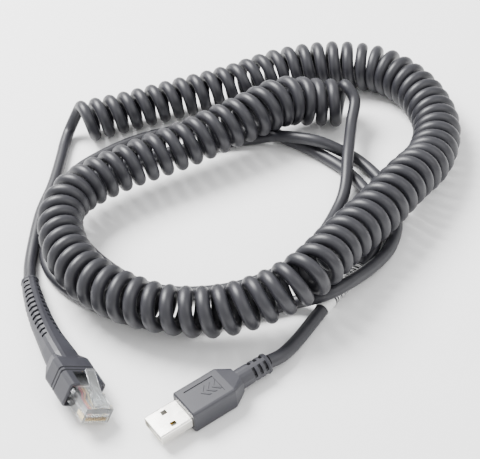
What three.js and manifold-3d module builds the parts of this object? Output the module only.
// Coiled interface cable of a handheld scanner: a USB type A plug, a straight lead that loops twice,
// a long coil, a short straight lead, and a ten-way modular plug in a slotted rubber boot.
// Millimetres, +Z up. The origin is on the table, under the middle of the whole cable.
import * as THREE from 'three';
import { mergeVertices } from 'three/addons/utils/BufferGeometryUtils.js';
import Module from 'manifold-3d';

const wasm = await Module();
wasm.setup();

// ---------------------------------------------------------------- driving sizes

const GAP = 0.3;
const CORD = 5.5;
const CORD_R = CORD / 2;
const BORE_R = CORD_R + GAP;
const COIL_R = 10.6;
const DEGREE = Math.PI / 180;

const JACKET = { color: 0x34353b, roughness: 0.5, metalness: 0 };
const MOULDED = { color: 0x3d3e45, roughness: 0.55, metalness: 0 };
const CLEAR = { color: 0xe4e9ea, roughness: 0.08, metalness: 0 };
const NICKEL = { color: 0xd9d6cc, roughness: 0.22, metalness: 1 };
const GOLD = { color: 0xd8b25a, roughness: 0.25, metalness: 1 };
const NYLON = { color: 0xeeeeea, roughness: 0.5, metalness: 0 };
const INSULATION = { red: 0xc8575a, orange: 0xd29a5c, cream: 0xe9dfb8, white: 0xe8e8e4, green: 0x4d8a58, black: 0x26262a };

// ---------------------------------------------------------------- shapes

const at = (x, y, z) => new THREE.Vector3(x, y, z);

// A rounded rectangle across the x axis. The middle is [y, z].
function boxRing(x, width, height, radius, middle = [0, 0], steps = 3) {
  const ring = [];
  for (let corner = 0; corner < 4; corner += 1) {
    const sideY = corner === 0 || corner === 3 ? 1 : -1;
    const sideZ = corner < 2 ? 1 : -1;
    for (let step = 0; step <= steps; step += 1) {
      const angle = (corner + step / steps) * 90 * DEGREE;
      ring.push(at(
        x,
        middle[0] + sideY * (width / 2 - radius) + radius * Math.cos(angle),
        middle[1] + sideZ * (height / 2 - radius) + radius * Math.sin(angle),
      ));
    }
  }
  return ring;
}

// A circle across the x axis.
function roundRing(x, radius, sides = 20) {
  const ring = [];
  for (let side = 0; side < sides; side += 1) {
    const angle = side / sides * 360 * DEGREE;
    ring.push(at(x, radius * Math.cos(angle), radius * Math.sin(angle)));
  }
  return ring;
}

// A closed surface through rings of equally many points, in order along x, with a flat cap on each end.
function loft(rings) {
  const count = rings[0].length;
  const faces = [];
  for (let ring = 1; ring < rings.length; ring += 1) {
    for (let side = 0; side < count; side += 1) {
      const next = (side + 1) % count;
      const [a, b] = [(ring - 1) * count + side, (ring - 1) * count + next];
      const [c, d] = [ring * count + next, ring * count + side];
      faces.push(a, b, c, a, c, d);
    }
  }
  const last = (rings.length - 1) * count;
  for (let side = 1; side + 1 < count; side += 1) {
    faces.push(0, side + 1, side);
    faces.push(last, last + side, last + side + 1);
  }
  const geometry = new THREE.BufferGeometry().setFromPoints(rings.flat());
  geometry.setIndex(faces);
  return geometry;
}

// A block between two corners.
function block([x0, y0, z0], [x1, y1, z1]) {
  const geometry = new THREE.BoxGeometry(x1 - x0, y1 - y0, z1 - z0);
  return geometry.translate((x0 + x1) / 2, (y0 + y1) / 2, (z0 + z1) / 2);
}

// A flat outline in x and z, given thickness across y.
function plate(outline, thickness) {
  const geometry = new THREE.ExtrudeGeometry(outline, { depth: thickness, bevelEnabled: false, curveSegments: 4 });
  return geometry.translate(0, 0, -thickness / 2).rotateX(90 * DEGREE);
}

// A solid section swept along a path.
function sweep(section, path, steps) {
  return new THREE.ExtrudeGeometry(section, { extrudePath: path, steps, curveSegments: 5, bevelEnabled: false });
}

// A round section, or a ring section if there is a bore.
function disc(radius, bore = 0) {
  const section = new THREE.Shape().absarc(0, 0, radius, 0, 360 * DEGREE);
  if (bore > 0) {
    section.holes.push(new THREE.Path().absarc(0, 0, bore, 0, 360 * DEGREE));
  }
  return section;
}

const smooth = (points) => new THREE.CatmullRomCurve3(points.map(([x, y, z]) => at(x, y, z)));

// Carries a shape that was made straight along x onto a path. The path starts at x = start.
function bend(geometry, path, start) {
  const length = path.getLength();
  const corners = geometry.getAttribute('position');
  for (let index = 0; index < corners.count; index += 1) {
    const along = corners.getX(index) - start;
    const share = THREE.MathUtils.clamp(along / length, 0, 1);
    const forward = path.getTangentAt(share);
    const side = at(0, 0, 1).cross(forward).normalize();
    const up = forward.clone().cross(side);
    const place = path.getPointAt(share)
      .addScaledVector(forward, along - share * length)
      .addScaledVector(side, corners.getY(index))
      .addScaledVector(up, corners.getZ(index));
    corners.setXYZ(index, place.x, place.y, place.z);
  }
  return geometry;
}

// ---------------------------------------------------------------- solids

function solid(geometry) {
  const bare = geometry.clone();
  bare.deleteAttribute('normal');
  bare.deleteAttribute('uv');
  const merged = mergeVertices(bare, 1e-4);
  return new wasm.Manifold(new wasm.Mesh({
    numProp: 3,
    vertProperties: merged.getAttribute('position').array,
    triVerts: Uint32Array.from(merged.index.array),
  }));
}

const join = (first, ...others) => others.reduce((sum, other) => sum.add(solid(other)), solid(first));
const cut = (body, tools) => tools.reduce((rest, tool) => rest.subtract(solid(tool)), body);

function surface(body) {
  const mesh = body.getMesh();
  const geometry = new THREE.BufferGeometry();
  geometry.setAttribute('position', new THREE.BufferAttribute(mesh.vertProperties, 3));
  geometry.setIndex(new THREE.BufferAttribute(mesh.triVerts, 1));
  return geometry;
}

function piece(name, shape, look) {
  const geometry = shape.isBufferGeometry ? shape : surface(shape);
  const mesh = new THREE.Mesh(geometry, new THREE.MeshStandardMaterial(look));
  mesh.name = name;
  return mesh;
}

// ---------------------------------------------------------------- strain relief slots

// Rows of slots around a strain relief that is still straight along x. Each slot is [x, width, arc length].
function reliefSlots(slots, rowTurn, outerRadius) {
  const cutters = [];
  const depth = outerRadius - CORD_R + 1;
  for (const [x, width, arc] of slots) {
    for (let row = 0; row < 4; row += 1) {
      const cutter = new THREE.BoxGeometry(width, arc, depth).translate(x, 0, CORD_R + depth / 2);
      cutters.push(cutter.rotateX((rowTurn + row * 90) * DEGREE));
    }
  }
  return cutters;
}

// ---------------------------------------------------------------- USB plug
// Local x runs from the mouth of the shell to the cable, z is up, and the origin is the middle of the mouth.

const USB = {
  width: 12,
  height: 4.5,
  wall: 0.3,
  bare: 13.4,
  shellEnd: 17,
  gripWidth: 14.5,
  gripHeight: 10,
  gripEnd: 32,
  taperEnd: 37.3,
  reliefEnd: 51.3,
  reliefR: 3.9,
  jacketStart: 31,
};
const USB_SIDES = [3.5, 1, -1, -3.5];

function usbShell() {
  const { width, height, wall, shellEnd } = USB;
  const outside = loft([boxRing(0, width, height, 0.6), boxRing(shellEnd, width, height, 0.6)]);
  const [innerWidth, innerHeight] = [width - 2 * wall, height - 2 * wall];
  const inside = loft([
    boxRing(-1, innerWidth, innerHeight, 0.4),
    boxRing(shellEnd + 1, innerWidth, innerHeight, 0.4),
  ]);
  const windows = [1, -1].map((side) => block([5.7, side * 3.2 - 1, -height], [8, side * 3.2 + 1, height]));
  return piece('usb_shell', cut(solid(outside), [inside, ...windows]), NICKEL);
}

function usbInsulator() {
  const half = USB.width / 2 - USB.wall - GAP;
  const top = USB.height / 2 - USB.wall - GAP;
  const tongue = block([0.8, -half, -top], [13, half, 0.05]);
  const heel = block([12.5, -half, -top], [16.5, half, top]);
  const grooves = USB_SIDES.map((side) => block([1.2, side - 0.8, -0.45], [17, side + 0.8, 0.45]));
  return piece('usb_insulator', cut(join(tongue, heel), grooves), NYLON);
}

function usbContacts() {
  return USB_SIDES.map((side, index) => {
    const isOuter = Math.abs(side) > 2;
    const start = isOuter ? 1.8 : 2.8;
    const strip = block([start, side - 0.5, -0.15], [16.2, side + 0.5, 0.15]);
    return piece(`usb_contact_${index + 1}`, strip, GOLD);
  });
}

function usbWires() {
  const colours = [INSULATION.red, INSULATION.white, INSULATION.green, INSULATION.black];
  return USB_SIDES.map((side, index) => {
    const gathered = (1.5 - index) * 1.2;
    const path = smooth([[27.3, side, 0], [28.4, side, 0], [29.7, gathered, 0], [30.7, gathered, 0]]);
    return piece(`usb_wire_${index + 1}`, sweep(disc(0.42), path, 6), { color: colours[index], roughness: 0.5 });
  });
}

function usbInnerMould() {
  const shape = loft([boxRing(17.3, USB.width, USB.height, 0.6), boxRing(27, USB.width, USB.height, 0.6)]);
  return piece('usb_inner_mould', shape, NYLON);
}

function usbCableEnd() {
  const shape = loft([roundRing(USB.jacketStart, CORD_R, 12), roundRing(USB.reliefEnd, CORD_R, 12)]);
  return piece('usb_cable_end', shape, JACKET);
}

function usbGripPanel() {
  const top = USB.gripHeight / 2;
  return block([USB.bare + 3.2, -4.35, top - 0.3], [USB.bare + 15.9, 4.35, top + 1]);
}

// A shallow lens-shaped finger recess in one side of the grip.
function usbFingerRecess(side) {
  const hollow = new THREE.CylinderGeometry(40, 40, 4.6, 96, 1).rotateX(90 * DEGREE).rotateX(90 * DEGREE);
  return hollow.translate(26, side * (USB.gripWidth / 2 + 39.3), 0);
}

function usbOvermould() {
  const { gripWidth, gripHeight, bare, gripEnd, taperEnd, reliefEnd, reliefR } = USB;
  const grip = loft([
    boxRing(bare, gripWidth - 1, gripHeight - 1, 1),
    boxRing(bare + 0.5, gripWidth, gripHeight, 1.3),
    boxRing(gripEnd, gripWidth, gripHeight, 1.3),
    boxRing(taperEnd, 9.6, 8.4, 2.6),
  ]);
  const relief = loft([roundRing(gripEnd, reliefR + 0.2), roundRing(reliefEnd - 1.2, reliefR)]);
  const rim = loft([
    roundRing(reliefEnd - 1.4, reliefR - 0.2),
    roundRing(reliefEnd - 1, reliefR + 0.3),
    roundRing(reliefEnd, reliefR + 0.1),
  ]);
  const pocket = loft([
    boxRing(bare - 1, USB.width + 2 * GAP, USB.height + 2 * GAP, 0.8),
    boxRing(USB.jacketStart, USB.width + 2 * GAP, USB.height + 2 * GAP, 0.8),
  ]);
  const bore = loft([roundRing(USB.jacketStart - 1, BORE_R), roundRing(reliefEnd + 1, BORE_R)]);
  const slots = [43.9, 46.6, 49.2].map((x) => [x, 1.3, 4.2]);
  const tools = [
    pocket,
    bore,
    usbGripPanel(),
    usbFingerRecess(1),
    usbFingerRecess(-1),
    ...reliefSlots(slots, 50, reliefR),
  ];
  return piece('usb_overmould', cut(join(grip, relief, rim), tools), MOULDED);
}

function usbPlug() {
  const plug = new THREE.Group();
  plug.name = 'usb_plug';
  plug.add(usbShell(), usbInsulator(), ...usbContacts(), usbInnerMould(), ...usbWires());
  plug.add(usbCableEnd(), usbOvermould());
  plug.position.set(-44.8, -109.9, USB.gripHeight / 2);
  plug.rotation.z = 31.8 * DEGREE;
  return plug;
}

// ---------------------------------------------------------------- modular plug
// Local x runs from the nose to the cable, z is towards the latch, and the origin is the middle of the
// nose's lower edge. The plug lies rolled over on one edge of its boot.

const MODULAR = {
  length: 21.5,
  width: 11.68,
  height: 6.6,
  pitch: 1.016,
  contacts: 10,
  contactEnd: 5.6,
  jacketStart: 15,
  middle: 3.3,
  collarStart: 11,
  collarEnd: 31,
  slots: 13,
  slotPitch: 3.15,
};
const LATCH = { pivot: [0.9, 0, 7.4], rise: 20, reach: 16, thickness: 1, catchWidth: 6.2, width: 4 };

// The middle line of the jacket in the plug and the boot, which droops to one side.
const BOOT_START = 12;
const BOOT_PATH = smooth([
  [BOOT_START, 0, 3.3], [20, 0.1, 3.4], [31, 0.7, 4.4], [46, -0.4, 4.2],
  [62, -2.8, 4], [78, -6.3, 4.7], [84.5, -7.9, 5.4],
]);
const BOOT_END = BOOT_START + BOOT_PATH.getLength();

const contactSide = (index) => (index - (MODULAR.contacts - 1) / 2) * MODULAR.pitch;

function modularBody() {
  const { length, width, height, middle } = MODULAR;
  const outside = loft([
    boxRing(0, width - 0.8, height - 0.8, 0.3, [0, middle], 2),
    boxRing(0.4, width, height, 0.3, [0, middle], 2),
    boxRing(length, width, height, 0.3, [0, middle], 2),
  ]);
  const wireChannel = block([1.5, -5.2, 2.85], [14.5, 5.2, 4]);
  const jacketHole = block([14.3, -3.5, 0.8], [length + 1, 3.5, 5.8]);
  const contactSlots = Array.from({ length: MODULAR.contacts }, (_, index) => {
    const side = contactSide(index);
    return block([-1, side - 0.31, -1], [MODULAR.contactEnd + 0.4, side + 0.31, 3]);
  });
  return piece('modular_body', cut(solid(outside), [wireChannel, jacketHole, ...contactSlots]), CLEAR);
}

function modularContacts() {
  const { contactEnd } = MODULAR;
  const outline = new THREE.Shape();
  outline.moveTo(contactEnd, 0.35);
  outline.lineTo(contactEnd, 2.6);
  outline.lineTo(0.5, 2.6);
  outline.lineTo(0.5, 1.35);
  outline.absarc(1.5, 1.35, 1, 180 * DEGREE, 270 * DEGREE);
  return Array.from({ length: MODULAR.contacts }, (_, index) => {
    const blade = plate(outline, 0.32).translate(0, contactSide(index), 0);
    return piece(`modular_contact_${String(index + 1).padStart(2, '0')}`, blade, GOLD);
  });
}

function modularWires() {
  const wires = { red: 8, orange: 7, cream: 5, white: 4 };
  return Object.entries(wires).map(([colour, index], order) => {
    const gathered = (1.5 - order) * 1.25;
    const side = contactSide(index);
    const path = smooth([[2, side, 3.42], [8, side, 3.42], [11.5, gathered, 3.42], [14.6, gathered, 3.42]]);
    return piece(`modular_wire_${colour}`, sweep(disc(0.38), path, 8), { color: INSULATION[colour], roughness: 0.5 });
  });
}

function modularLatch() {
  const { pivot, rise, reach, thickness, catchWidth, width } = LATCH;
  const section = (x, across, depth) => boxRing(x, across, depth, 0.25, [0, 0], 2);
  const root = new THREE.CylinderGeometry(thickness / 2, thickness / 2, catchWidth, 16);
  const arm = loft([
    section(0, catchWidth, thickness - 0.1),
    section(5, catchWidth, thickness),
    section(5.4, width, thickness),
    section(reach - 0.4, width, thickness - 0.1),
    section(reach, width - 0.6, thickness - 0.4),
  ]);
  const latch = piece('modular_latch', join(root, arm), CLEAR);
  latch.position.set(...pivot);
  latch.rotation.y = -rise * DEGREE;
  return latch;
}

function modularCableEnd() {
  const rings = [
    boxRing(MODULAR.jacketStart, 6.2, 4.2, 2, [0, 0], 2),
    boxRing(21.5, 6.2, 4.2, 2, [0, 0], 2),
    boxRing(25, CORD, CORD, 2.6, [0, 0], 2),
  ];
  for (let x = 33; x < BOOT_END - 4; x += 6) {
    rings.push(boxRing(x, CORD, CORD, 2.6, [0, 0], 2));
  }
  rings.push(boxRing(BOOT_END, CORD, CORD, 2.6, [0, 0], 2));
  return piece('modular_cable_end', bend(loft(rings), BOOT_PATH, BOOT_START), JACKET);
}

// The boot's collar is open in front for the plug, and lies off centre to one side of it.
function bootCollar() {
  const { collarStart, collarEnd } = MODULAR;
  const [width, height] = [15.8, 10.8];
  const middle = [0.95, 4.3];
  const ring = (x, inset, radius = 1.5) => {
    return boxRing(x, width - 2 * inset, height - 2 * inset, radius, middle, 2);
  };
  const rings = [ring(collarStart, 0.4), ring(collarStart + 0.4, 0)];
  for (const groove of [19.5, 21.3]) {
    rings.push(ring(groove - 0.4, 0), ring(groove - 0.15, 0.35), ring(groove + 0.15, 0.35), ring(groove + 0.4, 0));
  }
  rings.push(ring(27, 0), ring(collarEnd, 1.5), ring(collarEnd + 0.6, 2.3));
  return loft(rings);
}

// The boot's tail is nearly square at the collar and round at the cable.
function bootTail() {
  const widths = [[25, 11], [32, 10.8], [39, 10], [46, 9.2], [57, 8.8], [68, 8.4], [78, 7.7], [BOOT_END - 1.6, 7.2]];
  const rings = widths.map(([x, width]) => {
    const roundness = THREE.MathUtils.mapLinear(x, 25, BOOT_END, 0.25, 0.48);
    return boxRing(x, width, width, width * roundness);
  });
  rings.push(boxRing(BOOT_END - 1.1, 7.7, 7.7, 3.6), boxRing(BOOT_END, 7.3, 7.3, 3.4));
  return bend(loft(rings), BOOT_PATH, BOOT_START);
}

function bootBore() {
  const rings = [];
  for (let x = 20; x < BOOT_END + 5; x += 5) {
    rings.push(roundRing(x, BORE_R, 16));
  }
  return bend(loft(rings), BOOT_PATH, BOOT_START);
}

function bootSlots() {
  const slots = [];
  for (let index = 0; index < MODULAR.slots; index += 1) {
    const fullness = Math.sin((index + 1) / (MODULAR.slots + 1) * 180 * DEGREE);
    slots.push([BOOT_END - 3.3 - index * MODULAR.slotPitch, 1.1 + 0.4 * fullness, 2.2 + 1.9 * fullness]);
  }
  return reliefSlots(slots, -55, 4.6).map((slot) => bend(slot, BOOT_PATH, BOOT_START));
}

function modularBoot() {
  const { collarStart } = MODULAR;
  const cavity = block([collarStart - 1, -6.15, -GAP], [24.5, 7.9, 8.7]);
  const latchNotch = block([collarStart - 1, -4.8, 8], [18.5, 4.8, 12]);
  const tools = [cavity, latchNotch, bootBore(), ...bootSlots()];
  return piece('modular_boot', cut(join(bootCollar(), bootTail()), tools), MOULDED);
}

function modularPlug() {
  const plug = new THREE.Group();
  plug.name = 'modular_plug';
  plug.add(modularBody(), ...modularContacts(), ...modularWires(), modularLatch());
  plug.add(modularCableEnd(), modularBoot());
  plug.position.set(-66.5, -102.9, 4.2);
  plug.rotation.set(34 * DEGREE, 0, 117 * DEGREE, 'ZYX');
  return plug;
}

// ---------------------------------------------------------------- cable

// From the boot, up the left side, to the first turn of the coil.
const MODULAR_LEAD = [
  [-96.3, -22.9, 4.2], [-97.2, -12.5, 3], [-96.7, 1.5, 2.9], [-94.6, 23.5, 2.9], [-90.5, 41.5, 2.9],
  [-87.7, 61.5, 2.9], [-86.2, 74.5, 3.2], [-84.2, 81.7, 4.8], [-80.7, 85.9, 7.2],
];

// The middle of the coil, from its modular end to its USB end.
const COIL_AXIS = [
  [-76, 79, 10.6], [-55, 84, 10.6], [-30, 90, 11], [-4, 96, 11], [24, 104, 11.5], [51, 103, 12],
  [72, 95, 11.5], [84, 79, 11], [89, 61, 11], [89, 42, 11.5], [81, 20, 13], [67, 1, 17], [49, -20, 18],
  [33, -38, 20.5], [18, -55, 22], [0, -62, 18.5], [-19, -64, 16.5], [-38, -60, 16.5], [-56, -50, 16.5],
  [-71, -35, 16.5], [-80, -15, 16.5], [-82, 5, 16.5], [-76, 18, 16.5], [-57, 31, 16.5], [-29, 43, 17],
  [1, 57, 18.5], [21, 68, 18], [35, 71, 14], [47, 70, 12],
];

// From the last turn of the coil, twice round under the coil, to the USB plug.
const USB_LEAD = [
  [51.4, 72.5, 20], [54.5, 67, 16.2], [51.5, 55.5, 11.6], [46.8, 34.5, 9.8], [42, 13, 5], [37.5, 3.5, 3],
  [26, -15.5, 2.9], [9, -31.3, 2.9], [-14.7, -39, 2.9], [-44, -34.5, 2.9], [-69, -10.5, 2.9],
  [-81, 15.5, 2.9], [-77.5, 38, 2.9], [-59, 51.5, 2.9], [-20.8, 60, 2.9], [-2, 61.3, 2.9],
  [7, 60.5, 3.5], [14.6, 57.7, 6], [23, 52.3, 8.4], [34, 46, 9.3], [43.5, 42.5, 5.7], [51, 37, 3.3],
  [60, 18, 2.9], [61.3, -9.5, 2.9], [55.7, -25, 3.3], [48.2, -35.4, 5.3], [41.3, -42.8, 7.2],
  [34, -49.8, 9.6], [27, -53.9, 9.9], [19.5, -52.5, 6.2], [12, -50.8, 3.2], [-4, -53, 2.9],
  [-44, -54, 2.9], [-77.8, -31.6, 2.9], [-90, -11.5, 2.9], [-89.2, 14.5, 2.9], [-82, 47.5, 2.9],
  [-64, 63.5, 2.9], [-42, 73, 2.9], [-17, 74, 2.9], [4, 70.5, 2.9], [15.3, 64.3, 2.9], [21.5, 57.5, 2.9],
  [29, 50.5, 2.9], [38, 40, 2.9], [46.5, 27.1, 2.9], [54.5, 1.5, 2.9], [47.7, -26.3, 3.05],
  [26.1, -52.6, 3.1], [10, -73.3, 3.1], [4.1, -79.7, 4.2], [-0.6, -82.5, 5],
];
const LEAD_STEPS = 60;
const LABEL_STEP = 56;

function cable() {
  const usbLead = smooth(USB_LEAD);
  const [start, middle, end] = usbLead.getSpacedPoints(LEAD_STEPS).slice(LABEL_STEP);
  const labelPath = new THREE.CurvePath();
  labelPath.add(new THREE.LineCurve3(start, middle));
  labelPath.add(new THREE.LineCurve3(middle, end));
  return [
    piece('lead_modular', sweep(disc(CORD_R), smooth(MODULAR_LEAD), 8), JACKET),
    piece('cable_coil', sweep(disc(COIL_R), smooth(COIL_AXIS), 28), JACKET),
    piece('lead_usb', sweep(disc(CORD_R), usbLead, LEAD_STEPS), JACKET),
    piece('cable_label', sweep(disc(CORD_R + 0.28, CORD_R + 0.16), labelPath, 2), NYLON),
  ];
}

const assembly = new THREE.Group();
assembly.name = 'coiled_scanner_cable';
assembly.add(usbPlug(), modularPlug(), ...cable());

export default assembly;
